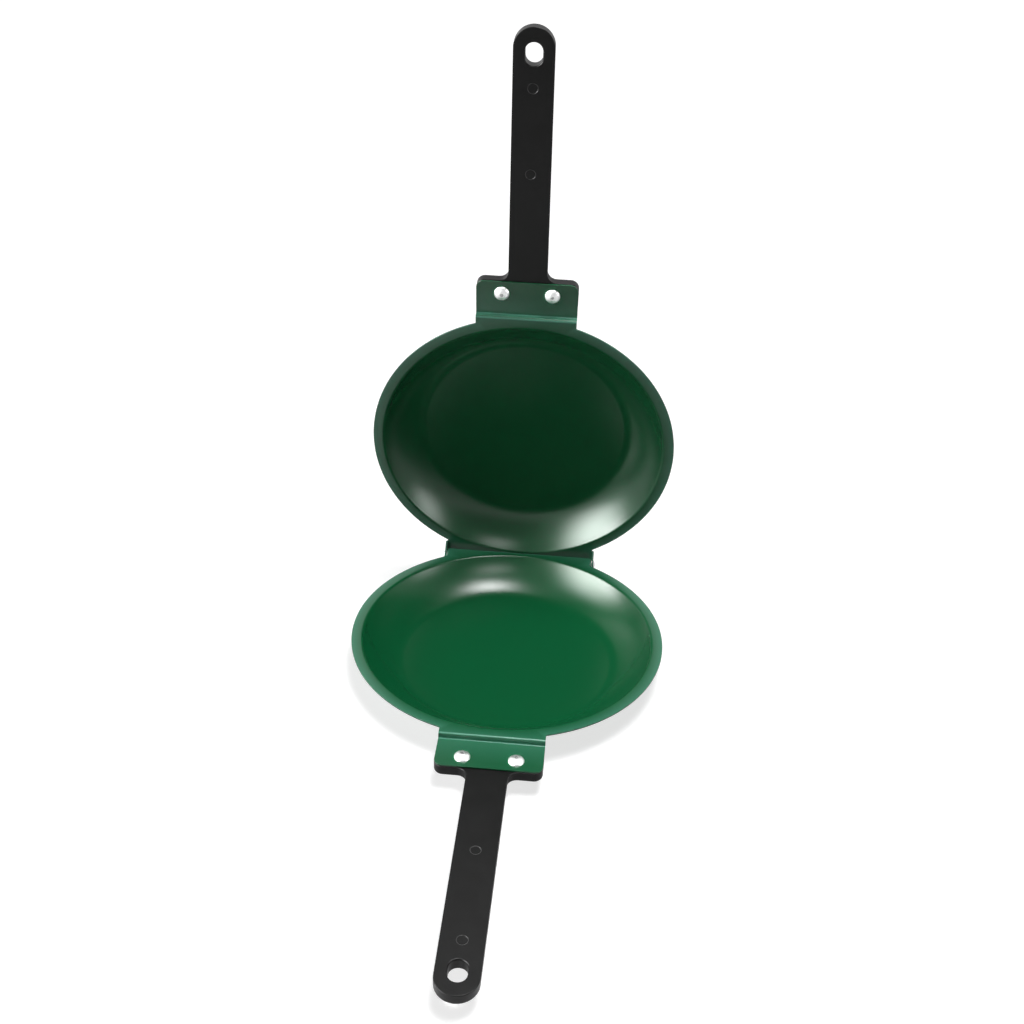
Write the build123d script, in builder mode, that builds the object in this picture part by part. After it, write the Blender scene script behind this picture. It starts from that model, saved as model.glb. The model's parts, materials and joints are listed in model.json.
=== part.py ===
# Double sided flip pan: two shallow coated steel pans joined by a rear hinge, each with a riveted moulded handle.
#
# Every half is drawn in its own frame: the rim's cooking-side face is the plane z = 0, the bowl hangs below it,
# the handle points along -Y and the hinge lies at +Y. The lower half is then set down with the middle of its
# underside at the origin, and the upper half is turned over and swung open about the hinge axis.
import os
from math import atan, degrees, hypot, isclose, radians, sin

from build123d import *

# --- Pressed sheet ---------------------------------------------------------------------------------------------
sheet = 0.9                    # coated steel sheet
rim_radius = 95.0              # outer edge of the flat rim
rim_width = 5.5                # flat rim, from its edge to the turn down into the bowl
lip_radius = 2.2               # that turn, on the cooking side
floor_radius = 63.4            # flat cooking floor
bowl_depth = 18.5              # rim face down to the floor
inside_corner_radius = 0.8     # where a tab leaves the round rim

# --- Handle tab, stepped away from the other half --------------------------------------------------------------
tab_width = 59.6
tab_step_margin = 0.8          # step outside the rim's edge
tab_step_drop = 3.3
tab_length = 21.6              # from the step to the free edge
tab_bend_radius = 0.7          # inside radius of both bends of the step
tab_corner_radius = 4.5

# --- Hinge -----------------------------------------------------------------------------------------------------
rim_gap = 0.4                  # between the two rims when the pan is shut
hinge_setback = 1.1            # hinge axis behind the bowl's mouth
hinge_drop = 4.4               # hinge axis below the lower rim's face
hinge_edge_overhang = 0.8      # rear edge of the sheet behind the hinge axis
ear_face = 48.75               # outside face of the lower pan's ears, from the middle
ear_clearance = 0.3            # between the lower ears and the upper ears outside them
ear_bend_radius = 0.5          # inside radius where an ear leaves the sheet
ear_length = 8.4               # along the sheet's side edge
hinge_pin_radius = 1.5
pin_clearance = 0.05           # running clearance round the pin, in the lower ears
pin_head_radius = 3.0
pin_head_height = 1.0
pin_tail_radius = 2.3
pin_tail_height = 0.8
pin_end_play = 0.1
open_angle = 81.0              # how far the upper half stands open from shut

# --- Moulded handle --------------------------------------------------------------------------------------------
handle_thickness = 6.5
head_length = 19.9             # cross head behind the tab, along the handle
head_overhang = 0.5            # past the tab's free edge
head_corner_radius = 5.0
stem_root_width = 22.6
stem_tip_width = 21.8
stem_fillet_radius = 5.5
stem_length = 147.1            # from the cross head to the tip
inner_edge_radius = 0.4        # round the face that looks at the other half
outer_edge_radius = 2.0
slot_length = 12.4             # hanging slot
slot_width = 9.4
slot_from_tip = 14.2           # its middle, from the tip
slot_edge_radius = 0.8
mark_radius = 3.0              # ejector marks left by the mould
mark_depth = 0.2
lower_marks = (88.5, 31.6)     # distances of the marks from the tip
upper_marks = (80.5, 32.2)

# --- Handle rivets ---------------------------------------------------------------------------------------------
rivet_spacing = 29.6
rivet_edge_distance = 7.7      # from the tab's free edge
rivet_shank_radius = 2.0
rivet_clearance = 0.05         # round the shank, in the tab and the handle
dome_radius = 4.5              # head seen on the cooking side
dome_height = 2.2
dimple_radius = 1.3
dimple_depth = 0.5
factory_head_radius = 4.6      # head sunk in the back of the handle
factory_head_height = 1.3
counterbore_radius = 4.9
counterbore_depth = 1.8

# --- Worked-out sizes ------------------------------------------------------------------------------------------
rim_inner_radius = rim_radius - rim_width
wall_run = rim_inner_radius - floor_radius
wall_angle = degrees(2 * atan(bowl_depth / wall_run))     # steepest slope of the bowl's wall
wall_radius = wall_run / sin(radians(wall_angle)) - lip_radius
tab_step_at = rim_radius + tab_step_margin                # these lie along -Y from the pan's centre
tab_root = tab_step_at - 2 * (tab_bend_radius + sheet)
tab_end = tab_step_at + tab_length
rivet_distance = tab_end - rivet_edge_distance
head_end = tab_end + head_overhang
handle_tip = head_end + stem_length
hinge_distance = rim_inner_radius + hinge_setback         # these lie along +Y
rear_edge = hinge_distance + hinge_edge_overhang
ear_bend_outer = ear_bend_radius + sheet
ear_inside = ear_face - sheet
upper_ear_face = ear_face + ear_clearance + sheet
upper_pin_z = hinge_drop + rim_gap                        # hinge axis in the upper half's frame
handle_face = -tab_step_drop - sheet                      # handle's inner face
handle_back = handle_face - handle_thickness
rim_height = bowl_depth + sheet                           # lower rim's face above the table

lower_frame = Location((0, 0, rim_height))
hinge_frame = Location((0, hinge_distance, rim_height - hinge_drop))
turned_over = Location((0, -hinge_distance, upper_pin_z), (0, 180, 0))
upper_frame = hinge_frame * Location((0, 0, 0), (-open_angle, 0, 0)) * turned_over


# --- Pans ------------------------------------------------------------------------------------------------------
def bowl():
    # One closed section of the sheet: floor, wall and lip as lines and arcs that run into each other
    with BuildPart() as dish:
        with BuildSketch(Plane.XZ):
            with BuildLine():
                floor = Line((0, -bowl_depth), (floor_radius, -bowl_depth))
                wall = JernArc(floor @ 1, (1, 0), wall_radius, wall_angle)
                lip = JernArc(wall @ 1, wall % 1, lip_radius, -wall_angle)
                seam = Line(lip @ 1, (rim_inner_radius, -sheet))
                lip_back = JernArc(seam @ 1, (-1, 0), lip_radius - sheet, wall_angle)
                wall_back = JernArc(lip_back @ 1, lip_back % 1, wall_radius + sheet, -wall_angle)
                Polyline(wall_back @ 1, (0, -bowl_depth - sheet), floor @ 0)
            make_face()
        revolve(axis=Axis.Z)
    return dish.part


def flat_rim(hinge_tab_half_width):
    # The flat ring with the roots of both tabs, cut straight along the hinge
    with BuildPart() as ring:
        with BuildSketch() as blank:
            Circle(rim_radius)
            Rectangle(tab_width, tab_root, align=(Align.CENTER, Align.MAX))
            Rectangle(2 * hinge_tab_half_width, rim_radius, align=(Align.CENTER, Align.MIN))
            with Locations((0, rear_edge)):
                Rectangle(2 * rim_radius, rim_radius, align=(Align.CENTER, Align.MIN), mode=Mode.SUBTRACT)
            corners = blank.vertices().filter_by(
                lambda v: isclose(hypot(v.X, v.Y), rim_radius, abs_tol=0.01) and abs(v.Y) > rim_width)
            fillet(corners, inside_corner_radius)
            Circle(rim_inner_radius, mode=Mode.SUBTRACT)
        extrude(amount=-sheet)
    return ring.part


def handle_tab():
    # The side view of the tab is a filleted step with the thickness of the sheet
    with BuildPart() as tab:
        with BuildSketch(Plane.YZ):
            with BuildLine():
                FilletPolyline((-tab_root, 0), (-tab_step_at, 0), (-tab_step_at, -tab_step_drop),
                               (-tab_end, -tab_step_drop), radius=(tab_bend_radius + sheet, tab_bend_radius))
                offset(amount=sheet, side=Side.LEFT)
            make_face()
        extrude(amount=tab_width / 2, both=True)
        free_corners = tab.edges().filter_by(Axis.Z).group_by(Axis.Y)[0]
        fillet(free_corners, tab_corner_radius)
        with Locations((0, -rivet_distance, -tab_step_drop)):
            with GridLocations(rivet_spacing, 0, 2, 1):
                Hole(rivet_shank_radius + rivet_clearance, depth=sheet)
    return tab.part


def hinge_ear(outside_face, direction, pin_z, hole_radius):
    # The ear at +X: a quarter bend off the sheet's side edge, then a plate that narrows to a lobe round the pin.
    # direction is -1 for an ear bent away from the cooking side and +1 for one bent towards it.
    bend_z = -ear_bend_outer if direction < 0 else ear_bend_radius
    lobe_radius = abs(pin_z - bend_z)
    outer_side = Align.MIN if direction < 0 else Align.MAX
    plate_side = Align.MAX if direction < 0 else Align.MIN
    with BuildPart() as ear:
        with BuildSketch(Plane.XZ.offset(-rear_edge)):
            with Locations((outside_face - ear_bend_outer, bend_z)):
                Circle(ear_bend_outer)
                Circle(ear_bend_radius, mode=Mode.SUBTRACT)
                Rectangle(2 * ear_bend_outer, 2 * ear_bend_outer,
                          align=(Align.MIN, outer_side), mode=Mode.INTERSECT)
        extrude(amount=ear_length)
        with BuildSketch(Plane.YZ.offset(outside_face - sheet)):
            with Locations((hinge_distance, pin_z)):
                Circle(lobe_radius)
            with Locations((rear_edge, bend_z)):
                Rectangle(ear_length, sheet / 2, align=(Align.MAX, plate_side))
            make_hull()
            with Locations((hinge_distance, pin_z)):
                Circle(hole_radius, mode=Mode.SUBTRACT)
        extrude(amount=sheet)
    return ear.part


def pressed_half(outside_face, direction, pin_z, hole_radius):
    ear = hinge_ear(outside_face, direction, pin_z, hole_radius)
    with BuildPart() as half:
        add(flat_rim(outside_face - ear_bend_outer))
        add(bowl())
        add(handle_tab())
        add(ear)
        mirror(ear, about=Plane.YZ)
    return half.part


# --- Handles ---------------------------------------------------------------------------------------------------
def moulded_handle(marks):
    with BuildPart() as handle:
        with BuildSketch(Plane.XY.offset(handle_face)) as outline:
            with Locations((0, stem_tip_width / 2 - handle_tip)):
                Circle(stem_tip_width / 2)
            with Locations((0, -head_end)):
                Rectangle(stem_root_width, head_length / 2, align=(Align.CENTER, Align.MIN))
            make_hull()
            with Locations((0, -head_end)):
                Rectangle(tab_width, head_length, align=(Align.CENTER, Align.MIN))
            head = outline.vertices().filter_by(lambda v: isclose(abs(v.X), tab_width / 2, abs_tol=0.01))
            fillet(head, head_corner_radius)
            armpits = outline.vertices().filter_by(
                lambda v: isclose(v.Y, -head_end, abs_tol=0.01)
                and isclose(abs(v.X), stem_root_width / 2, abs_tol=0.01))
            fillet(armpits, stem_fillet_radius)
        extrude(amount=-handle_thickness)
        fillet(handle.faces().sort_by(Axis.Z)[0].edges(), outer_edge_radius)
        fillet(handle.faces().sort_by(Axis.Z)[-1].edges(), inner_edge_radius)

        with BuildSketch(Plane.XY.offset(handle_face)):
            with Locations((0, slot_from_tip - handle_tip)):
                SlotOverall(slot_length, slot_width, rotation=90)
        extrude(amount=-handle_thickness, mode=Mode.SUBTRACT)
        slot_rims = handle.edges().filter_by(
            lambda e: abs(e.center().X) < slot_width and hypot(e.center().X, e.center().Y + handle_tip
                                                               - slot_from_tip) < slot_length / 2)
        fillet(slot_rims.filter_by(Axis.Z, reverse=True), slot_edge_radius)

        with BuildSketch(Plane.XY.offset(handle_face)):
            with Locations(*[(0, distance - handle_tip) for distance in marks]):
                Circle(mark_radius)
        extrude(amount=-mark_depth, mode=Mode.SUBTRACT)

        with Locations(Location((0, -rivet_distance, handle_back), (180, 0, 0))):
            with GridLocations(rivet_spacing, 0, 2, 1):
                CounterBoreHole(rivet_shank_radius + rivet_clearance, counterbore_radius,
                                counterbore_depth, depth=handle_thickness)
    return handle.part


# --- Fasteners -------------------------------------------------------------------------------------------------
def handle_rivet():
    # Turned about Z: low factory head in the counterbore, shank, and the domed, dimpled head on the cooking side
    seat = -tab_step_drop
    crown = seat + dome_height
    head_seat = handle_back + counterbore_depth
    with BuildPart() as rivet:
        with BuildSketch(Plane.XZ):
            with BuildLine():
                Spline((0, crown - dimple_depth), (dimple_radius, crown), tangents=((1, 0), (1, 0)))
                dome = EllipticalCenterArc((dimple_radius, seat), dome_radius - dimple_radius, dome_height,
                                           start_angle=0, arc_size=90)
                back = EllipticalCenterArc((0, head_seat), factory_head_radius, factory_head_height,
                                           start_angle=270, arc_size=90)
                Polyline(dome @ 0, (rivet_shank_radius, seat), (rivet_shank_radius, head_seat), back @ 1)
                Line(back @ 0, (0, crown - dimple_depth))
            make_face()
        revolve(axis=Axis.Z)
    return rivet.part


def hinge_rivet():
    # Turned about X, at +X: domed head outside the upper ear, shank through both ears, tail inside the lower one
    tail_face = ear_inside - pin_end_play
    with BuildPart() as rivet:
        with BuildSketch(Plane.XY):
            with BuildLine():
                dome = EllipticalCenterArc((upper_ear_face, 0), pin_head_height, pin_head_radius,
                                           start_angle=0, arc_size=90)
                Polyline(dome @ 1, (upper_ear_face, hinge_pin_radius), (tail_face, hinge_pin_radius),
                         (tail_face, pin_tail_radius), (tail_face - pin_tail_height, pin_tail_radius),
                         (tail_face - pin_tail_height, 0), dome @ 0)
            make_face()
        revolve(axis=Axis.X)
        tail_rim = rivet.edges().group_by(Axis.X)[0]
        fillet(tail_rim, pin_tail_height / 2)
    return rivet.part


# --- Assembly --------------------------------------------------------------------------------------------------
os.makedirs("parts", exist_ok=True)

with BuildPart() as lower_pan:
    with Locations(lower_frame):
        add(pressed_half(ear_face, -1, -hinge_drop, hinge_pin_radius + pin_clearance))
lower_pan.part.label = "lower_pan"
export_step(lower_pan.part, "parts/lower_pan.step")

with BuildPart() as upper_pan:
    with Locations(upper_frame):
        add(pressed_half(upper_ear_face, 1, upper_pin_z, hinge_pin_radius))
upper_pan.part.label = "upper_pan"
export_step(upper_pan.part, "parts/upper_pan.step")

for half_name, half_frame, marks in (("lower", lower_frame, lower_marks), ("upper", upper_frame, upper_marks)):
    with BuildPart() as half_handle:
        with Locations(half_frame):
            add(moulded_handle(marks))
    half_handle.part.label = f"{half_name}_handle"
    export_step(half_handle.part, f"parts/{half_name}_handle.step")

    for side_name, side in (("left", -1), ("right", 1)):
        # the upper half is turned over, so its left is the other side of its own frame
        own_side = side if half_name == "lower" else -side
        with BuildPart() as tab_rivet:
            with Locations(half_frame * Location((own_side * rivet_spacing / 2, -rivet_distance, 0))):
                add(handle_rivet())
        tab_rivet.part.label = f"{half_name}_rivet_{side_name}"
        export_step(tab_rivet.part, f"parts/{half_name}_rivet_{side_name}.step")

for side_name, turn in (("left", 180), ("right", 0)):
    with BuildPart() as pin:
        with Locations(hinge_frame * Location((0, 0, 0), (0, 0, turn))):
            add(hinge_rivet())
    pin.part.label = f"hinge_rivet_{side_name}"
    export_step(pin.part, f"parts/hinge_rivet_{side_name}.step")
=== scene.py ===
import json
from math import atan2, cos, degrees, hypot, isclose, pi, radians, sin, sqrt, tan

import bmesh
import bpy
from mathutils import Matrix, Vector


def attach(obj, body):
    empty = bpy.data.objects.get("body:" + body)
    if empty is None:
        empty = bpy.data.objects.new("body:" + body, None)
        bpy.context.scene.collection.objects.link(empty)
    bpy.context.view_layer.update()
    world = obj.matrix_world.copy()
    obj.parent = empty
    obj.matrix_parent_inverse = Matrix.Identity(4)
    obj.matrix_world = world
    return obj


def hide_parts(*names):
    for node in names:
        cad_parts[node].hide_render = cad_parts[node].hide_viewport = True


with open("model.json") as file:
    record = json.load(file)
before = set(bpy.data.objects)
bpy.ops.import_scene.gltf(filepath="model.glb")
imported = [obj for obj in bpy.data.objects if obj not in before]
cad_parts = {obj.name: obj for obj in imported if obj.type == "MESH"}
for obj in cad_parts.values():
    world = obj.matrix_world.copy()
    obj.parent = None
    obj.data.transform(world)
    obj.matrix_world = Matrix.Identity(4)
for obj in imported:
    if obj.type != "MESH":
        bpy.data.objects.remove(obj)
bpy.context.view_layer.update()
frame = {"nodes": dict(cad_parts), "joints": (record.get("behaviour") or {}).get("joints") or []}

mm = 0.001
collection = bpy.context.scene.collection
hingeJoint = frame["joints"][0]


class Wire:
    # one socket of a node tree: sums and products of wires add its Math nodes
    def __init__(self, maker, socket):
        self.maker = maker
        self.socket = socket

    def __add__(self, other):
        return self.maker.maths("ADD", self, other)

    def __radd__(self, other):
        return self.maker.maths("ADD", other, self)

    def __sub__(self, other):
        return self.maker.maths("SUBTRACT", self, other)

    def __rsub__(self, other):
        return self.maker.maths("SUBTRACT", other, self)

    def __mul__(self, other):
        return self.maker.maths("MULTIPLY", self, other)

    def __rmul__(self, other):
        return self.maker.maths("MULTIPLY", other, self)

    def __truediv__(self, other):
        return self.maker.maths("DIVIDE", self, other)

    def __pow__(self, other):
        return self.maker.maths("POWER", self, other)


class Made:
    # a node that has been added; an index picks one of its outputs
    def __init__(self, maker, node):
        self.maker = maker
        self.node = node

    def __getitem__(self, key):
        return Wire(self.maker, self.node.outputs[key])


class NodeMaker:
    def __init__(self, tree):
        self.tree = tree

    def add(self, kind, settings=None, inputs=None):
        node = self.tree.nodes.new(kind)
        for name, value in (settings or {}).items():
            setattr(node, name, value)
        for key, value in (inputs or {}).items():
            if isinstance(value, Wire):
                self.tree.links.new(value.socket, node.inputs[key])
            else:
                node.inputs[key].default_value = value
        return Made(self, node)

    def maths(self, operation, *inputs):
        return self.add("ShaderNodeMath", {"operation": operation}, dict(enumerate(inputs)))[0]

    def clamped(self, wire):
        return self.add("ShaderNodeClamp", inputs={"Value": wire})[0]

    def split(self, vector):
        return self.add("ShaderNodeSeparateXYZ", inputs={"Vector": vector})

    def joined(self, **parts):
        return self.add("ShaderNodeCombineXYZ", inputs=parts)[0]

    def rolled(self, radius, turn, height):
        # a point at a distance from the z axis and a turn round it
        x, y = (radius * self.maths(operation, turn) for operation in ("COSINE", "SINE"))
        return self.joined(X=x, Y=y, Z=height)

    def noise(self, place, scale, **inputs):
        return self.add("ShaderNodeTexNoise", inputs={"Vector": place, "Scale": scale, **inputs})["Fac"]

    def mixed(self, share, first, second):
        # a mix of two colours; the node keeps its colour sockets at 6, 7 and 2
        colours = {"Factor": self.clamped(share), 6: first, 7: second}
        return self.add("ShaderNodeMix", {"data_type": "RGBA"}, colours)[2]

    def bumps(self, height, strength, distance):
        return self.add("ShaderNodeBump", inputs={
            "Height": height, "Strength": strength, "Distance": distance})["Normal"]


# camera, lamps and floor

view = {
    "eye": (0.04433, -0.65306, 0.50549),   # metres, in the frame
    "yaw": -3.86,                          # degrees, positive turns right
    "pitch": -31.32,
    "roll": 2.05,
    "fieldOfView": 42.31,
    "nearest": 0.01,                       # metres
}


def addCamera():
    yaw, pitch, roll = (radians(view[key]) for key in ("yaw", "pitch", "roll"))
    forward = Vector((sin(yaw) * cos(pitch), cos(yaw) * cos(pitch), sin(pitch)))
    level = Vector((cos(yaw), -sin(yaw), 0))
    above = level.cross(forward)
    right = cos(roll) * level + sin(roll) * above
    up = cos(roll) * above - sin(roll) * level
    data = bpy.data.cameras.new("camera")
    data.sensor_fit = "HORIZONTAL"
    data.angle = radians(view["fieldOfView"])
    data.clip_start = view["nearest"]
    camera = bpy.data.objects.new("camera", data)
    turned = Matrix((right, up, -forward)).transposed().to_4x4()
    camera.matrix_world = Matrix.Translation(view["eye"]) @ turned
    collection.objects.link(camera)
    bpy.context.scene.camera = camera


studio = {
    "middle": (0, -0.02, 0.1),      # metres, what the lamps are turned to
    "distance": 1.3,
    "worldLight": 0.07,             # light from all round, on matt surfaces
    "roomLight": 0.25,              # the dim room above and behind the camera, in reflections
    "roomSides": (0.45, 0.8),       # where that room begins, towards the front, and how softly
    "roomFoot": (0.06, 0.25),       # the same above the horizon
    "floorColour": 0.42,
    "floorReach": 6000,             # mm, from the middle to each side
    "stepDown": (66, 114),          # mm in y, where the floor steps down behind the hinge
    "stepDepth": 9.3,
    "stepStrips": 12,
    "floorGlow": (0.72, 1.0),       # near the pan and far off, so that the floor is white to the horizon
    "glowFrom": (0.35, 0.9),        # metres from the middle where the far glow begins, and how softly
    "floorInGloss": (0.75, 0.2),    # share of that glow in reflections, left and right of the pan
    "glossAcross": 0.7,             # metres from the one share to the other
    "frontShare": 0.5,              # more of it in front of the lower handle's tip
    "frontFrom": (0.2, 0.06),       # metres in front, and how softly
    "edgeShare": 0.93,              # and less again beyond the table's edge
    "edgeFrom": (0.28, 0.25),
    "lampPeak": 3.5,                # a lamp's middle against an even lamp of the same watts
    # watts, wide, high, azimuth from the front towards +x, elevation, roll in degrees, seen in gloss only
    "lamps": {
        "overhead": (19, 0.85, 0.7, 92, 81, 0, False),
        "frontSheen": (2, 0.8, 0.5, 22, 54, 0, True),
        "leftFill": (8, 0.9, 0.6, 276, 18, -42, False),
        "leftSheen": (64, 2.3, 1.35, 298, 23, -51, True),
        "rightSheen": (6.5, 1.3, 0.8, 70, 14, 51, True),
    },
}


def newMaterial(name):
    material = bpy.data.materials.new(name)
    material.use_nodes = True
    material.node_tree.nodes.clear()
    return material, NodeMaker(material.node_tree)


def seenRays(maker):
    # 1 for what is looked at, straight or in a reflection, and 0 for what only lights a matt surface
    path = maker.add("ShaderNodeLightPath")
    seen = maker.maths("MAXIMUM", path["Is Camera Ray"], path["Is Glossy Ray"])
    return maker.maths("MAXIMUM", seen, path["Is Transmission Ray"])


def addWorld():
    world = bpy.data.worlds.new("studio")
    bpy.context.scene.world = world
    world.use_nodes = True
    world.node_tree.nodes.clear()
    maker = NodeMaker(world.node_tree)
    way = maker.split(maker.add("ShaderNodeTexCoord")["Generated"])
    (sides, sideBlend), (foot, footBlend) = studio["roomSides"], studio["roomFoot"]
    inFront = maker.clamped((sides - way["Y"]) / sideBlend)
    above = maker.clamped((way["Z"] - foot) / footBlend)
    reflected = 1 - maker.add("ShaderNodeLightPath")["Is Camera Ray"]
    shade = (1 - studio["roomLight"]) * inFront * above * reflected
    strength = studio["worldLight"] + (1 - studio["worldLight"] - shade) * seenRays(maker)
    background = maker.add("ShaderNodeBackground", inputs={"Color": (1, 1, 1, 1), "Strength": strength})
    maker.add("ShaderNodeOutputWorld", inputs={"Surface": background["Background"]})


def paleFloor():
    material, maker = newMaterial("paleFloor")
    place = maker.add("ShaderNodeTexCoord")["Object"]
    away = maker.add("ShaderNodeVectorMath", {"operation": "LENGTH"}, {0: place})["Value"]
    near, far = studio["floorGlow"]
    start, blend = studio["glowFrom"]
    glow = near + (far - near) * maker.clamped((away - start) / blend)
    left, right = studio["floorInGloss"]
    lookedAt = maker.add("ShaderNodeLightPath")["Is Camera Ray"]
    spot = maker.split(place)
    rightwards = maker.clamped(0.5 + spot["X"] / studio["glossAcross"])
    start, blend = studio["frontFrom"]
    inFront = maker.clamped((-start - spot["Y"]) / blend)
    start, blend = studio["edgeFrom"]
    beyond = maker.clamped((-start - spot["Y"]) / blend)
    share = maker.clamped(left + (right - left) * rightwards + studio["frontShare"] * inFront)
    share = share * (1 - studio["edgeShare"] * beyond)
    glow = glow * (share + (1 - share) * lookedAt) * seenRays(maker)
    matt = maker.add("ShaderNodeBsdfDiffuse", inputs={"Color": (studio["floorColour"],) * 3 + (1,)})
    white = maker.add("ShaderNodeEmission", inputs={"Color": (1, 1, 1, 1), "Strength": glow})
    both = maker.add("ShaderNodeAddShader", inputs={0: matt["BSDF"], 1: white["Emission"]})
    maker.add("ShaderNodeOutputMaterial", inputs={"Surface": both["Shader"]})
    return material


def addFloor():
    # level under the lower pan, and lower behind the hinge, where the upper pan lies once it is opened flat
    start, end = studio["stepDown"]
    strips, reach = studio["stepStrips"], studio["floorReach"]
    work = bmesh.new()
    before = None
    for y in [-reach, *(start + (end - start) * i / strips for i in range(strips + 1)), reach]:
        part = min(max((y - start) / (end - start), 0), 1)
        height = -studio["stepDepth"] * part * part * (3 - 2 * part)
        line = [work.verts.new((x * mm, y * mm, height * mm)) for x in (-reach, reach)]
        if before:
            work.faces.new((*before, line[1], line[0])).smooth = True
        before = line
    mesh = bpy.data.meshes.new("floor")
    work.to_mesh(mesh)
    work.free()
    floor = bpy.data.objects.new("floor", mesh)
    collection.objects.link(floor)
    mesh.materials.append(paleFloor())


def softBox(data):
    # brightest in the middle and fading to its edges, as a diffuser with the flash behind it
    data.use_nodes = True
    data.node_tree.nodes.clear()
    maker = NodeMaker(data.node_tree)
    place = maker.split(maker.add("ShaderNodeNewGeometry")["Parametric"])
    wide, high = (maker.clamped(4 * place[axis] * (1 - place[axis])) for axis in ("X", "Y"))
    fade = wide * high
    light = maker.add("ShaderNodeEmission", inputs={
        "Color": (1, 1, 1, 1), "Strength": studio["lampPeak"] * fade ** 2})
    maker.add("ShaderNodeOutputLight", inputs={"Surface": light["Emission"]})


def addLamps():
    middle = Vector(studio["middle"])
    for name, (watts, wide, high, azimuth, elevation, roll, glossOnly) in studio["lamps"].items():
        turn, rise = radians(azimuth), radians(elevation)
        outwards = Vector((sin(turn) * cos(rise), -cos(turn) * cos(rise), sin(rise)))
        data = bpy.data.lights.new(name, "AREA")
        data.shape = "RECTANGLE"
        softBox(data)
        data.energy = watts
        data.size = wide
        data.size_y = high
        lamp = bpy.data.objects.new(name, data)
        lamp.matrix_world = (Matrix.Translation(middle + outwards * studio["distance"])
                             @ (-outwards).to_track_quat("-Z", "Y").to_matrix().to_4x4()
                             @ Matrix.Rotation(radians(roll), 4, "Z"))
        lamp.visible_camera = False
        lamp.visible_diffuse = not glossOnly
        collection.objects.link(lamp)


bpy.context.scene.view_settings.view_transform = "Standard"
addCamera()
addWorld()
addFloor()
addLamps()
print("camera, lamps and floor are in")


# finishes

coating = {
    "green": (0.0016, 0.091, 0.029, 1),
    "deepGreen": (0.0012, 0.077, 0.024, 1),
    "paleGreen": (0.10, 0.36, 0.25, 1),    # painted sheen: a lighter green on the flat rim, the tab and most on the tab's bends, standing in for their highlights and light
    "roughness": 0.24,
    "shine": 0.5,               # specular level
    "grainSize": 0.8,           # mm, the sprayed coating's grain
    "grainHeight": 0.03,        # mm
    "grainStrength": 0.7,
    "cloudScale": 60,           # broad, faint unevenness
    "thinGrain": 0.3,           # how far the grain breaks up the painted sheen
    "grainGloss": 0.12,         # how far grain and clouds change the roughness
    "cloudGloss": 0.05,
}
moulding = {
    "black": (0.002, 0.002, 0.002, 1),
    "grey": (0.004, 0.004, 0.004, 1),
    # the third grey is a painted sheen, for the raised ring round each ejector mark
    "flash": (0.045, 0.045, 0.045, 1),
    "roughness": 0.36,
    "shine": 0.22,
    "cloudScale": 90,
    "grainScale": 2600,
    "grainHeight": 0.01,        # mm
    "grainStrength": 0.3,
    "cloudGloss": 0.16,
    "grainGloss": 0.08,
}
# each metal's second colour is the painted shade in a rivet's dimple
rivetMetal = {"colour": (0.95, 0.95, 0.955, 1), "scar": (0.1, 0.1, 0.105, 1), "roughness": 0.36}
pinMetal = {"colour": (0.52, 0.53, 0.54, 1), "scar": (0.2, 0.2, 0.2, 1), "roughness": 0.35}
scuffing = {
    "scale": 900,
    "height": 0.04,             # mm
    "strength": 0.3,
    "gloss": 0.25,              # how far the scuffs change the roughness
    "scarRoughness": 0.2,       # rougher by this where the dimple's painted shade is
}


def surfaced(maker, **inputs):
    # ends a material in a principled shader; underscores stand for the spaces in its sockets' names
    named = {key.replace("_", " "): value for key, value in inputs.items()}
    surface = maker.add("ShaderNodeBsdfPrincipled", inputs=named)
    maker.add("ShaderNodeOutputMaterial", inputs={"Surface": surface["BSDF"]})


def coatedSteel():
    material, maker = newMaterial("greenCoating")
    place = maker.add("ShaderNodeTexCoord")["Object"]
    grain = maker.noise(place, 1 / (coating["grainSize"] * mm), Detail=3, Roughness=0.7)
    cloud = maker.noise(place, coating["cloudScale"], Detail=4, Roughness=0.55)
    # painted sheen: a lighter green on the rim, the tab and its bends, standing in for highlights and light
    sheenShare = maker.add("ShaderNodeAttribute", {"attribute_name": "paintedSheen"})["Fac"]
    full = maker.mixed(0.5 * grain + 0.5 * cloud, coating["green"], coating["deepGreen"])
    colour = maker.mixed(sheenShare + coating["thinGrain"] * sheenShare * (grain - 0.5), full, coating["paleGreen"])
    roughness = (coating["roughness"] + coating["grainGloss"] * (grain - 0.5)
                 + coating["cloudGloss"] * (cloud - 0.5))
    bump = maker.bumps(grain, coating["grainStrength"], coating["grainHeight"] * mm)
    surfaced(maker, Base_Color=colour, Roughness=roughness, Normal=bump,
             Specular_IOR_Level=coating["shine"])
    return material


def mouldedBlack(name, dark, light=None):
    # clouded from dark to light, or dark all over
    material, maker = newMaterial(name)
    place = maker.add("ShaderNodeTexCoord")["Object"]
    cloud = maker.noise(place, moulding["cloudScale"], Detail=5, Roughness=0.6)
    grain = maker.noise(place, moulding["grainScale"], Detail=2)
    colour = maker.mixed(cloud, dark, light) if light else dark
    roughness = (moulding["roughness"] + moulding["cloudGloss"] * (cloud - 0.5)
                 + moulding["grainGloss"] * (grain - 0.5))
    bump = maker.bumps(grain, moulding["grainStrength"], moulding["grainHeight"] * mm)
    surfaced(maker, Base_Color=colour, Roughness=roughness, Normal=bump,
             Specular_IOR_Level=moulding["shine"])
    return material


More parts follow.
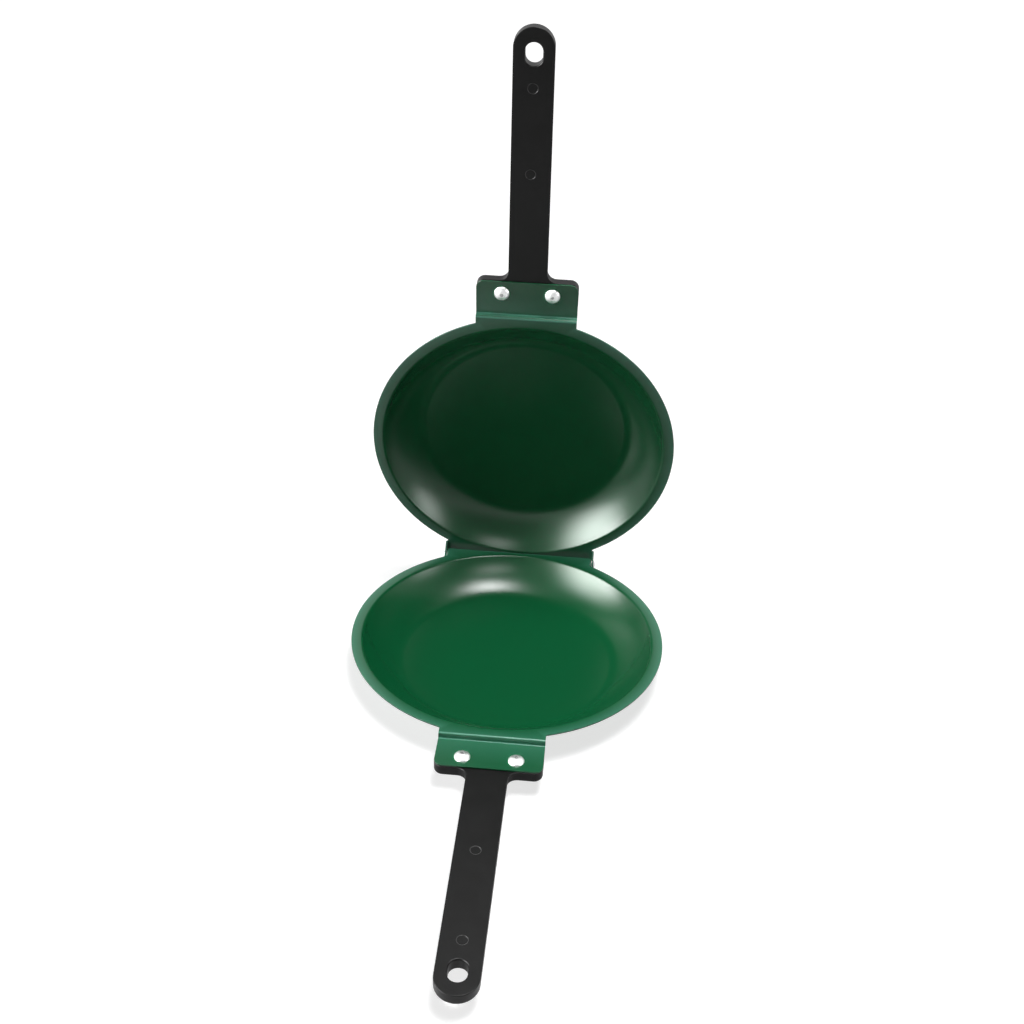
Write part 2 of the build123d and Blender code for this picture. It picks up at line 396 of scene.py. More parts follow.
def bareMetal(name, look):
    material, maker = newMaterial(name)
    place = maker.add("ShaderNodeTexCoord")["Object"]
    scuffs = maker.noise(place, scuffing["scale"], Detail=4, Roughness=0.65, Distortion=0.6)
    # painted shade: dark specks in a rivet's dimple
    scar = maker.add("ShaderNodeAttribute", {"attribute_name": "paintedDimpleShade"})["Fac"]
    colour = maker.mixed(scar, look["colour"], look["scar"])
    roughness = look["roughness"] + scuffing["gloss"] * (scuffs - 0.5) + scuffing["scarRoughness"] * scar
    bump = maker.bumps(scuffs, scuffing["strength"], scuffing["height"] * mm)
    surfaced(maker, Base_Color=colour, Metallic=1.0, Roughness=roughness, Normal=bump)
    return material


greenCoating = coatedSteel()
blackMoulding = mouldedBlack("mouldedBlack", moulding["black"], moulding["grey"])
# painted sheen: the raised ring round each ejector mark is a lighter grey
paintedRingSheen = mouldedBlack("paintedRingSheen", moulding["flash"])
aluminium = bareMetal("rivetAluminium", rivetMetal)
steel = bareMetal("pinSteel", pinMetal)
print("finishes are mixed")


# shapes in millimetres, each half drawn flat: rim face at z = 0, handle towards -y, hinge towards +y

tiny = 1e-6                     # a length that counts as none
sheet = 0.9
rimHeight = 19.4                # the lower pan's rim above the table
openAngle = -hingeJoint["range_deg"][0]
hingeAt = {
    "distance": 90.6,           # from the middle of either pan
    "belowLower": 4.4,          # under the lower pan's rim face
    "fromUpper": 4.8,           # from the upper pan's rim face
}
weldWithin = {"dish": 0.01, "sheet": 0.005, "rivet": 0.004}    # points closer than this are made one

lowerFrame = Matrix.Translation((0, 0, rimHeight * mm))
upperFrame = (Matrix.Translation(hingeJoint["pos_m"])
              @ Matrix.Rotation(-radians(openAngle), 4, "X")
              @ Matrix.Translation((0, -hingeAt["distance"] * mm, hingeAt["fromUpper"] * mm))
              @ Matrix.Rotation(pi, 4, "Y"))


def arcPoints(centre, radius, start, end, steps):
    # points on an arc from one angle to another, in degrees, both ends included
    turns = [radians(start + (end - start) * i / steps) for i in range(steps + 1)]
    return [(centre[0] + radius * cos(turn), centre[1] + radius * sin(turn)) for turn in turns]


def roundedCorner(before, corner, after, radius, steps=6):
    # the points of a fillet where the lines before-corner and corner-after meet
    corner = Vector(corner)
    back = (Vector(before) - corner).normalized()
    ahead = (Vector(after) - corner).normalized()
    half = back.angle(ahead) / 2
    centre = corner + (back + ahead).normalized() * radius / sin(half)
    first = corner + back * radius / tan(half) - centre
    last = corner + ahead * radius / tan(half) - centre
    return [tuple(centre + first.slerp(last, i / steps).normalized() * radius) for i in range(steps + 1)]


def meshObject(name, mesh, materials):
    obj = bpy.data.objects.new(name, mesh)
    collection.objects.link(obj)
    if not mesh.materials:
        for material in materials:
            mesh.materials.append(material)
    return obj


def bakedMesh(obj, name):
    # the object's mesh with its modifiers applied
    bpy.context.view_layer.update()
    evaluated = obj.evaluated_get(bpy.context.evaluated_depsgraph_get())
    mesh = bpy.data.meshes.new_from_object(evaluated)
    mesh.name = name
    bpy.data.objects.remove(obj)
    return mesh


def addRing(work, points, height):
    # a level loop of vertices
    return [work.verts.new((x * mm, y * mm, height * mm)) for x, y in points]


def joinRings(work, lower, upper, material=0):
    count = len(lower)
    for i in range(count):
        j = (i + 1) % count
        work.faces.new((lower[i], lower[j], upper[j], upper[i])).material_index = material


def fillBetween(work, rings):
    # a flat face with holes: the first ring is its outline, the others the holes
    edges = []
    for ring in rings:
        for i, vertex in enumerate(ring):
            pair = (vertex, ring[(i + 1) % len(ring)])
            edges.append(work.edges.get(pair) or work.edges.new(pair))
    bmesh.ops.triangle_fill(work, use_beauty=True, edges=edges)


def finishMesh(name, work, place, materials, sharpest=40, edgeRound=0):
    # sets the finished shape in its place in the frame; turns beyond sharpest, in degrees, stay crisp
    bmesh.ops.recalc_face_normals(work, faces=work.faces)
    work.transform(place)
    mesh = bpy.data.meshes.new(name)
    work.to_mesh(mesh)
    work.free()
    mesh.shade_smooth()
    mesh.set_sharp_from_angle(angle=radians(sharpest))
    obj = meshObject(name, mesh, materials)
    if edgeRound:
        soften = obj.modifiers.new("edges", "BEVEL")
        soften.width = edgeRound * mm
        soften.segments = 2
        soften.limit_method = "ANGLE"
        soften.angle_limit = radians(sharpest)
    weigh = obj.modifiers.new("flatFacesFirst", "WEIGHTED_NORMAL")
    weigh.keep_sharp = True
    return meshObject(name, bakedMesh(obj, name), materials)


# pans

dish = {
    "floorRadius": 63.0,
    "mouthRadius": 89.5,
    "depth": 18.5,
    "heelRadius": 15.0,         # the tighter turn at the floor's edge
    "heelAngle": 27,            # the wall's slope where that turn ends, in degrees
    "lipRadius": 2.2,
    "segments": 360,
    "floorRings": 6,
    "heelRings": 8,
    "wallRings": 24,
    "lipRings": 16,
}
rim = {
    "radius": 94.99,
    "insideCorner": 0.8,        # where a tab leaves the round rim
    "arcSteps": 110,
    "edgeRound": 0.1,           # on all cut edges of the sheet
}
tab = {
    "width": 59.6,
    "stepAt": 95.8,             # from the middle of the pan
    "drop": 3.3,                # away from the other half
    "end": 117.4,
    "bend": 0.7,                # inside radius of both bends
    "corner": 4.5,
    "cornerSteps": 8,
}
ears = {
    "rearEdge": 91.4,           # from the middle of the pan
    "length": 8.4,              # along the sheet's side edge
    "bend": 0.5,
    "lowerFace": 48.75,         # outside faces of the two pairs
    "upperFace": 49.95,
    "lobeSteps": 20,
}
bendSteps = 10
# how much painted sheen each place gets, for highlights on the tab's bends and light on the rim
paintedSheenLevels = {
    "rim": 0.32,
    "tab": 0.05,
    "bend": 1.0,
    "topBend": (0.62, 0.5),     # middle and reach of the painted highlight line on a bend, as shares of its radius
    "lowBend": (0.4, 0.8),
    "lipStart": 1,              # mm inside the bowl's mouth where the painted sheen begins
    "margin": 0.1,              # mm beside the tab
}


def shapeTree(name, **inputs):
    # a geometry tree with named inputs, listed by their kind
    tree = bpy.data.node_groups.new(name, "GeometryNodeTree")
    tree.interface.new_socket("Geometry", in_out="OUTPUT", socket_type="NodeSocketGeometry")
    for kind, names in inputs.items():
        for each in names:
            tree.interface.new_socket(each, in_out="INPUT", socket_type=f"NodeSocket{kind}")
    maker = NodeMaker(tree)
    return tree, maker, maker.add("NodeGroupInput")


def dishTree():
    # a grid rolled round the middle: its first axis runs round, its second from the centre out to the mouth
    tree, maker, given = shapeTree(
        "pressedDish",
        Float=("floorRadius", "heelRadius", "wallRadius", "lipRadius", "heelAngle", "wallAngle", "depth"),
        Int=("segments", "floorRings", "heelRings", "wallRings", "lipRings"))
    rings = given["floorRings"] + given["heelRings"] + given["wallRings"] + given["lipRings"]
    grid = maker.add("GeometryNodeMeshGrid", inputs={
        "Size X": 1.0, "Size Y": 1.0, "Vertices X": given["segments"] + 1, "Vertices Y": rings + 1})
    place = maker.split(maker.add("GeometryNodeInputPosition")[0])
    turn = -2 * pi * (place["X"] + 0.5)
    ring = (place["Y"] + 0.5) * rings
    toHeel = ring - given["floorRings"]
    toWall = toHeel - given["heelRings"]
    toLip = toWall - given["wallRings"]
    gentlest, steepest = given["heelAngle"], given["wallAngle"]
    heelTurn = gentlest * maker.clamped(toHeel / given["heelRings"])
    wallTurn = gentlest + (steepest - gentlest) * maker.clamped(toWall / given["wallRings"])
    lipTurn = steepest * (1 - maker.clamped(toLip / given["lipRings"]))
    radius = (given["floorRadius"] * maker.clamped(ring / given["floorRings"])
              + given["heelRadius"] * maker.maths("SINE", heelTurn)
              + given["wallRadius"] * (maker.maths("SINE", wallTurn) - maker.maths("SINE", gentlest))
              + given["lipRadius"] * (maker.maths("SINE", steepest) - maker.maths("SINE", lipTurn)))
    height = (given["heelRadius"] * (1 - maker.maths("COSINE", heelTurn)) - given["depth"]
              + given["wallRadius"] * (maker.maths("COSINE", gentlest) - maker.maths("COSINE", wallTurn))
              + given["lipRadius"] * (maker.maths("COSINE", lipTurn) - maker.maths("COSINE", steepest)))
    moved = maker.add("GeometryNodeSetPosition", inputs={
        "Geometry": grid["Mesh"], "Position": maker.rolled(radius, turn, height)})
    closed = maker.add("GeometryNodeMergeByDistance", inputs={
        "Geometry": moved[0], "Distance": weldWithin["dish"] * mm})
    real = maker.add("GeometryNodeRealizeInstances", inputs={"Geometry": closed[0]})
    dressed = maker.add("GeometryNodeSetMaterial", inputs={"Geometry": real[0], "Material": greenCoating})
    maker.add("NodeGroupOutput", inputs={"Geometry": dressed[0]})
    return tree


def nodesMesh(name, tree, values):
    # runs a geometry tree with the values of its named inputs, and gives the plain mesh it makes
    obj = meshObject(name, bpy.data.meshes.new(name), [])
    modifier = obj.modifiers.new("nodes", "NODES")
    modifier.node_group = tree
    for item in tree.interface.items_tree:
        if item.item_type == "SOCKET" and item.in_out == "INPUT" and item.name in values:
            modifier[item.identifier] = values[item.name]
    return bakedMesh(obj, name)


def dishMesh():
    # the wall's long arc starts where the heel ends and meets the lip's arc at the same slope
    gentlest = radians(dish["heelAngle"])
    run = dish["mouthRadius"] - dish["floorRadius"] - dish["heelRadius"] * sin(gentlest)
    rise = dish["depth"] - dish["heelRadius"] * (1 - cos(gentlest)) - dish["lipRadius"]
    wallRadius = ((run ** 2 + rise ** 2 - dish["lipRadius"] ** 2) / 2
                  / (dish["lipRadius"] - run * sin(gentlest) + rise * cos(gentlest)))
    values = {key: dish[key] for key in ("segments", "floorRings", "heelRings", "wallRings", "lipRings")}
    values["heelAngle"] = gentlest
    values["wallAngle"] = atan2(run + wallRadius * sin(gentlest), wallRadius * cos(gentlest) - rise)
    values["wallRadius"] = wallRadius * mm
    for key in ("floorRadius", "heelRadius", "lipRadius", "depth"):
        values[key] = dish[key] * mm
    return nodesMesh("dish", dishTree(), values)


def addFlap(work, rows, place):
    # a strip of sheet: each row is (length along it, one side, other side), and the last may be a point
    before = None
    for length, low, high in rows:
        ends = [low] if isclose(low, high, abs_tol=tiny) else [low, high]
        row = [work.verts.new(Vector(place(length, across)) * mm) for across in ends]
        if before:
            work.faces.new(before + row[::-1])
        before = row


def bendProfile(pieces):
    # follows straights (length,) and bends (radius, degrees); gives (length, along, up) at every station
    along = up = length = heading = 0.0
    stations = [(length, along, up)]
    for piece in pieces:
        if len(piece) == 1:
            along += piece[0] * cos(heading)
            up += piece[0] * sin(heading)
            length += piece[0]
            stations.append((length, along, up))
            continue
        radius, turn = piece
        change = radians(turn) / bendSteps
        chord = 2 * radius * sin(abs(change) / 2)
        for i in range(bendSteps):
            heading += change / 2
            along += chord * cos(heading)
            up += chord * sin(heading)
            heading += change / 2
            length += radius * abs(change)
            stations.append((length, along, up))
    return stations


def stationAt(stations, length):
    # (along, up) at a length between two stations
    for (a, alongA, upA), (b, alongB, upB) in zip(stations, stations[1:]):
        if length <= b + tiny:
            share = (length - a) / (b - a) if b > a else 0
            return alongA + share * (alongB - alongA), upA + share * (upB - upA)
    return stations[-1][1:]


def addHandleTab(work):
    outer = tab["bend"] + sheet
    root = tab["stepAt"] - outer
    flat = tab["end"] - tab["stepAt"] - tab["bend"]
    stations = bendProfile([(outer, -90), (tab["drop"] - outer - tab["bend"],), (tab["bend"], 90), (flat,)])
    half = tab["width"] / 2
    rows = [(length, -half, half) for length, along, up in stations[:-1]]
    total = stations[-1][0]
    for i in range(tab["cornerSteps"] + 1):
        turn = pi / 2 * i / tab["cornerSteps"]
        narrower = tab["corner"] * (1 - cos(turn))
        rows.append((total - tab["corner"] * (1 - sin(turn)), -half + narrower, half - narrower))

    def place(length, across):
        along, up = stationAt(stations, length)
        return (across, -root - along, up)

    addFlap(work, rows, place)


def lobeSides(radius, behind, ahead):
    # (depth, low, high) down an ear: straight sides from its root run into the lobe round the pin
    def touch(offset):
        # where the line from the root's corner touches the lobe, as (side, depth)
        towards = Vector((-offset, radius)).normalized()
        foot = Vector((-offset, 0))
        other = 2 * foot.dot(towards) * towards - foot
        return offset + other.x, other.y

    rows = []
    sides = (touch(-behind), touch(ahead))
    steps = ears["lobeSteps"]
    lobe = {radius * (1 - cos(pi * i / steps)) for i in range(steps + 1)}
    for depth in sorted({0.0, sides[0][1], sides[1][1]} | lobe):
        bulge = sqrt(max(radius ** 2 - (depth - radius) ** 2, 0))
        row = [-bulge, bulge]
        for k, (corner, (touchSide, touchDepth)) in enumerate(zip((-behind, ahead), sides)):
            if depth < touchDepth:
                row[k] = corner + (touchSide - corner) * depth / touchDepth
        rows.append((depth, row[0], row[1]))
    return rows


def addEar(work, side, face, direction, pinHeight):
    # direction is -1 where the ear is bent away from the cooking side and +1 where it is bent towards it
    bend = ears["bend"] + sheet if direction < 0 else ears["bend"]
    root = face - ears["bend"] - sheet
    stations = bendProfile([(bend, 90 * direction), (2 * ears["length"],)])
    start = stations[-2][0]
    ahead = ears["rearEdge"] - hingeAt["distance"]
    behind = ears["length"] - ahead
    rows = [(length, -behind, ahead) for length, along, up in stations[:-2]]
    for depth, low, high in lobeSides(abs(pinHeight) - bend, behind, ahead):
        rows.append((start + depth, low, high))

    def place(length, across):
        along, up = stationAt(stations, length)
        return (side * (root + along), hingeAt["distance"] + across, up)

    addFlap(work, rows, place)


def addRim(work, face):
    # the flat rim between the bowl's mouth and the blank's outline, up to the fold lines
    mouth = [(dish["mouthRadius"] * cos(2 * pi * i / dish["segments"]),
              dish["mouthRadius"] * sin(2 * pi * i / dish["segments"])) for i in range(dish["segments"])]
    foldX = face - ears["bend"] - sheet
    foldY = tab["bend"] + sheet - tab["stepAt"]
    tabX = tab["width"] / 2
    tabTurn = degrees(-atan2(sqrt(rim["radius"] ** 2 - tabX ** 2), tabX))
    earTurn = degrees(atan2(sqrt(rim["radius"] ** 2 - foldX ** 2), foldX))
    arc = arcPoints((0, 0), rim["radius"], tabTurn, earTurn, rim["arcSteps"])
    right = [(tabX, foldY)]
    right += roundedCorner((tabX, foldY), arc[0], arc[1], rim["insideCorner"])
    right += arc[1:-1]
    right += roundedCorner(arc[-2], arc[-1], (foldX, ears["rearEdge"]), rim["insideCorner"])
    right += [(foldX, ears["rearEdge"] - ears["length"]), (foldX, ears["rearEdge"])]
    outline = right + [(-x, y) for x, y in reversed(right)]
    fillBetween(work, [addRing(work, outline, 0), addRing(work, mouth, 0)])


def paintedSheenAt(x, y):
    # painted sheen: 0 in the bowl, some on the flat rim and the tab, most on the tab's two bends as a
    # painted highlight
    flatWidth = rim["radius"] - dish["mouthRadius"]
    outwards = (hypot(x, y) - dish["mouthRadius"] + paintedSheenLevels["lipStart"]) / flatWidth
    flat = paintedSheenLevels["rim"] * min(max(outwards, 0), 1)
    if abs(x) > tab["width"] / 2 + paintedSheenLevels["margin"] or y > 0:
        return flat
    outer = tab["bend"] + sheet
    middle, reach = paintedSheenLevels["topBend"]
    topBend = 1 - abs(-y - tab["stepAt"] + outer * middle) / (outer * reach)
    middle, reach = paintedSheenLevels["lowBend"]
    lowBend = 1 - abs(-y - tab["stepAt"] - tab["bend"] * middle) / (tab["bend"] * reach)
    if -y > tab["stepAt"] - outer:
        flat = 0 if -y < tab["stepAt"] + tab["bend"] else paintedSheenLevels["tab"]
    return max(paintedSheenLevels["bend"] * max(topBend, lowBend), flat)


def pressedPan(name, place, face, direction, pinHeight):
    work = bmesh.new()
    work.from_mesh(dishMesh())
    addRim(work, face)
    addHandleTab(work)
    for side in (-1, 1):
        addEar(work, side, face, direction, pinHeight)
    bmesh.ops.remove_doubles(work, verts=work.verts, dist=weldWithin["sheet"] * mm)
    bmesh.ops.recalc_face_normals(work, faces=work.faces)
    work.faces.ensure_lookup_table()
    middle = min(work.faces, key=lambda patch: patch.calc_center_median().xy.length)
    if middle.normal.z < 0:
        bmesh.ops.reverse_faces(work, faces=work.faces)
    surface = bpy.data.meshes.new(name)
    work.to_mesh(surface)
    work.free()

    obj = meshObject(name, surface, [greenCoating])
    thick = obj.modifiers.new("sheet", "SOLIDIFY")
    thick.thickness = sheet * mm
    thick.offset = -1
    thick.use_even_offset = True
    thick.use_quality_normals = True
    work = bmesh.new()
    work.from_mesh(bakedMesh(obj, name))
    # the painted sheen of each vertex
    paintedSheen = work.verts.layers.float.new("paintedSheen")
    for vertex in work.verts:
        vertex[paintedSheen] = paintedSheenAt(vertex.co.x / mm, vertex.co.y / mm)
    return finishMesh(name, work, place, [greenCoating], edgeRound=rim["edgeRound"])


lowerPan = pressedPan("lowerPan", lowerFrame, ears["lowerFace"], -1, -hingeAt["belowLower"])
upperPan = pressedPan("upperPan", upperFrame, ears["upperFace"], 1, hingeAt["fromUpper"])
print("pans are pressed")


# handles

grip = {
    "face": -4.2,               # inner face, in its half's own frame
    "thickness": 6.5,
    "headWidth": 59.6,
    "headEnd": 117.9,           # distances from the middle of the pan
    "headLength": 19.9,
    "headCorner": 5.0,
    "stemRoot": 22.6,
    "stemTip": 21.8,
    "armpit": 5.5,
    "tip": 265.0,
    "innerEdge": 0.4,
    "outerEdge": 2.0,
    "slotWidth": 9.4,
    "slotLength": 12.4,
    "slotFromTip": 14.2,
    "slotEdge": 0.8,
    "rivetsAt": 109.7,          # from the middle of the pan
    "rivetSpacing": 29.6,
    "shankHole": 2.05,
    "counterbore": 4.9,
    "counterboreDepth": 1.8,
    "sharpest": 35,             # degrees, turns beyond this stay crisp
}
gripSteps = {
    "tip": 48, "corner": 14, "slot": 24, "circle": 48,
    "innerEdge": 4, "outerEdge": 10, "slotEdge": 6,
}
ejectorMarks = {
    "radius": 2.75,
    "ridge": 0.3,               # width of the thin ring of flash round each mark, painted lighter as a sheen
    "ridgeHeight": 0.06,
    "depth": 0.12,
    "slope": 0.15,
    "lower": (88.5, 31.6),      # from the tip
    "upper": (80.5, 32.2),
}


def inset(points, distance):
    # moves a loop that runs anticlockwise inwards
    moved = []
    for i, point in enumerate(points):
        here = Vector(point)
        first = (here - Vector(points[i - 1])).normalized()
        second = (Vector(points[(i + 1) % len(points)]) - here).normalized()
        inwards = Vector((-first.y - second.y, first.x + second.x)).normalized()
        moved.append(tuple(here + inwards * distance / inwards.dot(Vector((-first.y, first.x)))))
    return moved


def handleOutline():
    halfHead = grip["headWidth"] / 2
    halfStem = grip["stemRoot"] / 2
    tipRadius = grip["stemTip"] / 2
    headTop = grip["headLength"] - grip["headEnd"]
    tipCentre = (0, tipRadius - grip["tip"])
    lean = degrees(atan2(halfStem - tipRadius, grip["tip"] - grip["headEnd"] - tipRadius))
    tip = arcPoints(tipCentre, tipRadius, 180 + lean, 360 - lean, gripSteps["tip"])
    corners = [
        ((halfStem, -grip["headEnd"]), grip["armpit"]),
        ((halfHead, -grip["headEnd"]), grip["headCorner"]),
        ((halfHead, headTop), grip["headCorner"]),
        ((-halfHead, headTop), grip["headCorner"]),
        ((-halfHead, -grip["headEnd"]), grip["headCorner"]),
        ((-halfStem, -grip["headEnd"]), grip["armpit"]),
    ]
    stops = [tip[-1]] + [corner for corner, radius in corners] + [tip[0]]
    loop = list(tip)
    for i, (corner, radius) in enumerate(corners):
        loop += roundedCorner(stops[i], corner, stops[i + 2], radius, gripSteps["corner"])
    return loop


def slotLoop(radius):
    y = grip["slotFromTip"] - grip["tip"]
    half = (grip["slotLength"] - grip["slotWidth"]) / 2
    steps = gripSteps["slot"]
    farEnd = arcPoints((0, y + half), radius, 0, 180, steps)
    return farEnd + arcPoints((0, y - half), radius, 180, 360, steps)


def circleLoop(x, y, radius):
    steps = gripSteps["circle"]
    return arcPoints((x, y), radius, 0, 360 * (steps - 1) / steps, steps - 1)


def quarterRound(edge):
    # (inset, height) pairs round an edge, from the flat face to the side
    radius, steps = grip[edge], gripSteps[edge]
    turns = [pi / 2 * i / steps for i in range(steps + 1)]
    return [(radius * (1 - sin(turn)), radius * (cos(turn) - 1)) for turn in turns]


def loftRings(work, loops, material=0):
    # a wall through level loops, each given with its height
    rings = [addRing(work, points, height) for points, height in loops]
    for lower, upper in zip(rings, rings[1:]):
        joinRings(work, lower, upper, material)
    return rings


def mouldedHandle(name, place, marks):
    work = bmesh.new()
    face = grip["face"]
    back = face - grip["thickness"]
    outline = handleOutline()
    sides = [(inset(outline, step), face + drop) for step, drop in quarterRound("innerEdge")]
    sides += [(inset(outline, step), back - drop) for step, drop in reversed(quarterRound("outerEdge"))]
    rings = loftRings(work, sides)
    faceRings, backRings = [rings[0]], [rings[-1]]

    half = grip["slotWidth"] / 2
    slot = [(slotLoop(half + step), face + drop) for step, drop in quarterRound("slotEdge")]
    slot += [(slotLoop(half + step), back - drop) for step, drop in reversed(quarterRound("slotEdge"))]
    rings = loftRings(work, slot)
    faceRings.append(rings[0])
    backRings.append(rings[-1])

    for side in (-1, 1):
        x, y = side * grip["rivetSpacing"] / 2, -grip["rivetsAt"]
        seat = back + grip["counterboreDepth"]
        rings = loftRings(work, [
            (circleLoop(x, y, grip["shankHole"]), face), (circleLoop(x, y, grip["shankHole"]), seat),
            (circleLoop(x, y, grip["counterbore"]), seat), (circleLoop(x, y, grip["counterbore"]), back)])
        faceRings.append(rings[0])
        backRings.append(rings[-1])

    for distance in marks:
        y = distance - grip["tip"]
        radius, ridgeWidth = ejectorMarks["radius"], ejectorMarks["ridge"]
        # the ring and its slope take the second material, the painted ring sheen
        ridge = loftRings(work, [
            (circleLoop(0, y, radius + ridgeWidth), face),
            (circleLoop(0, y, radius + ridgeWidth / 2), face + ejectorMarks["ridgeHeight"]),
            (circleLoop(0, y, radius), face)], 1)
        floor = addRing(work, circleLoop(0, y, radius - ejectorMarks["slope"]), face - ejectorMarks["depth"])
        joinRings(work, ridge[-1], floor, 1)
        work.faces.new(floor)
        faceRings.append(ridge[0])

    fillBetween(work, faceRings)
    fillBetween(work, backRings)
    return finishMesh(name, work, place, [blackMoulding, paintedRingSheen], grip["sharpest"])


lowerHandle = mouldedHandle("lowerHandle", lowerFrame, ejectorMarks["lower"])
upperHandle = mouldedHandle("upperHandle", upperFrame, ejectorMarks["upper"])
print("handles are moulded")


# rivets and hinge pins: a tree makes a facing pair, the dimple and scars of each one differ

tabRivets = {
    "spacing": grip["rivetSpacing"], "headRadius": 4.5, "headHeight": 2.2, "shankRadius": 2.0,
    "grip": 5.6,                # sheet and moulding between the two heads
    "tailRadius": 4.6, "tailHeight": 1.3, "tilt": 0.0,
    "dimpleRadius": 1.25, "dimpleDepth": 0.16, "scarDepth": 0.05,
}
hingePins = {
    "spacing": 99.9, "headRadius": 3.0, "headHeight": 1.0, "shankRadius": 1.5,
    "grip": 2.2, "tailRadius": 2.3, "tailHeight": 0.8, "tilt": 90.0,
    "dimpleRadius": 0.9, "dimpleDepth": 0.0, "scarDepth": 0.02, "dimpleShift": 0.0,
}
rivetRows = {"segments": 64, "headRings": 40, "tailRings": 12}
wear = {
    "coarse": {"Scale": 620, "Detail": 2, "Roughness": 0.6},
    "fine": {"Scale": 1700, "Detail": 3, "Roughness": 0.7},
    "seedSteps": (1.7, 3.1),    # how far one seed is from the next in the two patterns
    "headsAbove": 0.02,         # mm, what lies higher belongs to a head
    "ragged": (0.35, 1.3),      # least reach of the dimple and what the coarse pattern adds
    "dimpleEdge": 0.45,         # how softly the dimple ends, against its radius
    "ringAt": 1.1,              # the scuffed ring, against the dimple's radius
    "dimpleUneven": (0.55, 0.9),
    "darkest": (4, 1.1),        # contrast and threshold of the painted shade specks in the dimple
    "fullDepth": 0.16,          # mm, the dimple depth at which the painted shade is full
}
pinSharpest = 50                # degrees, turns beyond this stay crisp


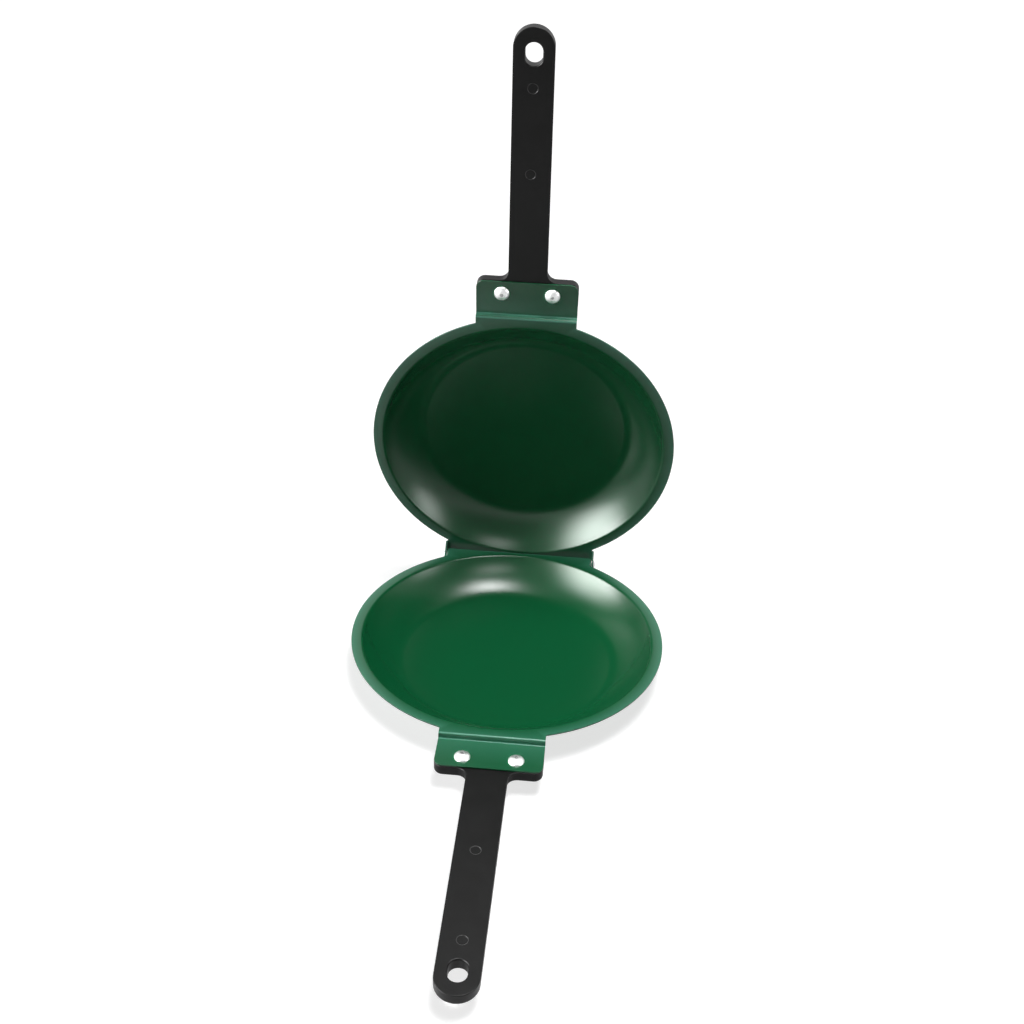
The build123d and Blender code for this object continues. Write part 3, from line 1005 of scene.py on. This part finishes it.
def rivetTree():
    tree, maker, given = shapeTree(
        "rivetPair",
        Float=("spacing", "headRadius", "headHeight", "shankRadius", "grip", "tailRadius", "tailHeight",
               "tilt", "dimpleRadius", "dimpleDepth", "scarDepth", "dimpleShift"),
        Int=("segments", "headRings", "tailRings", "seed"),
        Material=("metal",))

    # one rivet: head dome, a ring each for its underside, the shank and the tail's seat, then the tail dome
    rings = given["headRings"] + 3 + given["tailRings"]
    grid = maker.add("GeometryNodeMeshGrid", inputs={
        "Size X": 1.0, "Size Y": 1.0, "Vertices X": given["segments"] + 1, "Vertices Y": rings + 1})
    place = maker.split(maker.add("GeometryNodeInputPosition")[0])
    turn = 2 * pi * (place["X"] + 0.5)
    ring = (place["Y"] + 0.5) * rings
    head = maker.clamped(ring / given["headRings"]) * (pi / 2)
    underside = maker.clamped(ring - given["headRings"])
    shank = maker.clamped(ring - given["headRings"] - 1)
    seat = maker.clamped(ring - given["headRings"] - 2)
    tail = maker.clamped((ring - given["headRings"] - 3) / given["tailRings"]) * (pi / 2)
    radius = (given["headRadius"] * maker.maths("SINE", head)
              - (given["headRadius"] - given["shankRadius"]) * underside
              + (given["tailRadius"] - given["shankRadius"]) * seat
              + given["tailRadius"] * (maker.maths("COSINE", tail) - 1))
    height = (given["headHeight"] * maker.maths("COSINE", head) - given["grip"] * shank
              - given["tailHeight"] * maker.maths("SINE", tail))
    moved = maker.add("GeometryNodeSetPosition", inputs={
        "Geometry": grid["Mesh"], "Position": maker.rolled(radius, turn, height)})
    closed = maker.add("GeometryNodeMergeByDistance", inputs={
        "Geometry": moved[0], "Distance": weldWithin["rivet"] * mm})

    # a pair of them, mirrored about the middle
    start = maker.joined(X=given["spacing"] * -0.5)
    step = maker.joined(X=given["spacing"])
    points = maker.add("GeometryNodeMeshLine", inputs={"Count": 2, "Start Location": start, "Offset": step})
    side = 2 * maker.add("GeometryNodeInputIndex")[0] - 1
    lean = maker.joined(Y=maker.maths("RADIANS", given["tilt"]) * side)
    pair = maker.add("GeometryNodeInstanceOnPoints", inputs={
        "Points": points[0], "Instance": closed[0], "Rotation": lean})
    real = maker.add("GeometryNodeRealizeInstances", inputs={"Geometry": pair[0]})

    # the punch's dimple and the scars round it, different on each head
    here = maker.add("GeometryNodeInputPosition")[0]
    spot = maker.split(here)
    across = maker.maths("ABSOLUTE", spot["X"]) - given["spacing"] * 0.5
    along = spot["Y"] - given["dimpleShift"]
    away = maker.maths("SQRT", across * across + along * along)
    grain, fine = (
        maker.add("ShaderNodeTexNoise", {"noise_dimensions": "4D"}, {
            "Vector": here, "W": given["seed"] * seedStep, **wear[pattern]})[0]
        for pattern, seedStep in zip(("coarse", "fine"), wear["seedSteps"]))
    isHead = maker.maths("GREATER_THAN", spot["Z"], wear["headsAbove"] * mm)
    least, added = wear["ragged"]
    ragged = given["dimpleRadius"] * (least + added * grain)
    dimple = maker.clamped((ragged - away) / (given["dimpleRadius"] * wear["dimpleEdge"]))
    offRing = maker.maths("ABSOLUTE", away - given["dimpleRadius"] * wear["ringAt"])
    scuffed = maker.clamped(1 - offRing / given["dimpleRadius"])
    least, added = wear["dimpleUneven"]
    sink = isHead * (given["dimpleDepth"] * dimple * (least + added * fine)
                     + given["scarDepth"] * scuffed * fine)
    worn = maker.add("GeometryNodeSetPosition", inputs={
        "Geometry": real[0], "Offset": maker.joined(Z=sink * -1)})
    # painted shade: dark specks inside the dimple, fuller where it is deeper
    contrast, threshold = wear["darkest"]
    specks = dimple * (contrast * fine - threshold)
    paintedDimpleShade = isHead * maker.clamped(specks * given["dimpleDepth"] / (wear["fullDepth"] * mm))
    marked = maker.add("GeometryNodeStoreNamedAttribute", {"data_type": "FLOAT", "domain": "POINT"}, {
        "Geometry": worn[0], "Name": "paintedDimpleShade", "Value": paintedDimpleShade})
    dressed = maker.add("GeometryNodeSetMaterial", inputs={
        "Geometry": marked[0], "Material": given["metal"]})
    maker.add("NodeGroupOutput", inputs={"Geometry": dressed[0]})
    return tree


pairTree = rivetTree()


def rivetPair(name, values, metal, place, seed):
    inputs = {key: value * (1 if key == "tilt" else mm) for key, value in values.items()}
    inputs.update(rivetRows)
    inputs["seed"] = seed
    inputs["metal"] = metal
    work = bmesh.new()
    work.from_mesh(nodesMesh(name, pairTree, inputs))
    return finishMesh(name, work, place, [metal], pinSharpest)


tabPlace = Matrix.Translation((0, -grip["rivetsAt"] * mm, -tab["drop"] * mm))
lowerRivets = rivetPair("lowerRivets", {**tabRivets, "dimpleShift": 1.1}, aluminium,
                        lowerFrame @ tabPlace, seed=3)
upperRivets = rivetPair("upperRivets", {**tabRivets, "dimpleShift": 0.2}, aluminium,
                        upperFrame @ tabPlace, seed=8)
pins = rivetPair("hingePins", hingePins, steel, Matrix.Translation(hingeJoint["pos_m"]), seed=5)
print("rivets are set")

for piece, body, slot, nodes in (
        (lowerPan, "lower_half", "coated_steel", ("lower_pan",)),
        (upperPan, "upper_half", "coated_steel", ("upper_pan",)),
        (lowerHandle, "lower_half", "moulded_handle", ("lower_handle",)),
        (upperHandle, "upper_half", "moulded_handle", ("upper_handle",)),
        (lowerRivets, "lower_half", "aluminium_rivet", ("lower_rivet_left", "lower_rivet_right")),
        (upperRivets, "upper_half", "aluminium_rivet", ("upper_rivet_left", "upper_rivet_right")),
        (pins, "upper_half", "steel_rivet", ("hinge_rivet_left", "hinge_rivet_right"))):
    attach(piece, body)
    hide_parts(*nodes)

for node, look in (("lower_pan", greenCoating), ("upper_pan", greenCoating),
                   ("lower_handle", blackMoulding), ("upper_handle", blackMoulding),
                   ("lower_rivet_left", aluminium), ("lower_rivet_right", aluminium),
                   ("upper_rivet_left", aluminium), ("upper_rivet_right", aluminium),
                   ("hinge_rivet_left", steel), ("hinge_rivet_right", steel)):
    frame["nodes"][node].material_slots[0].material = look
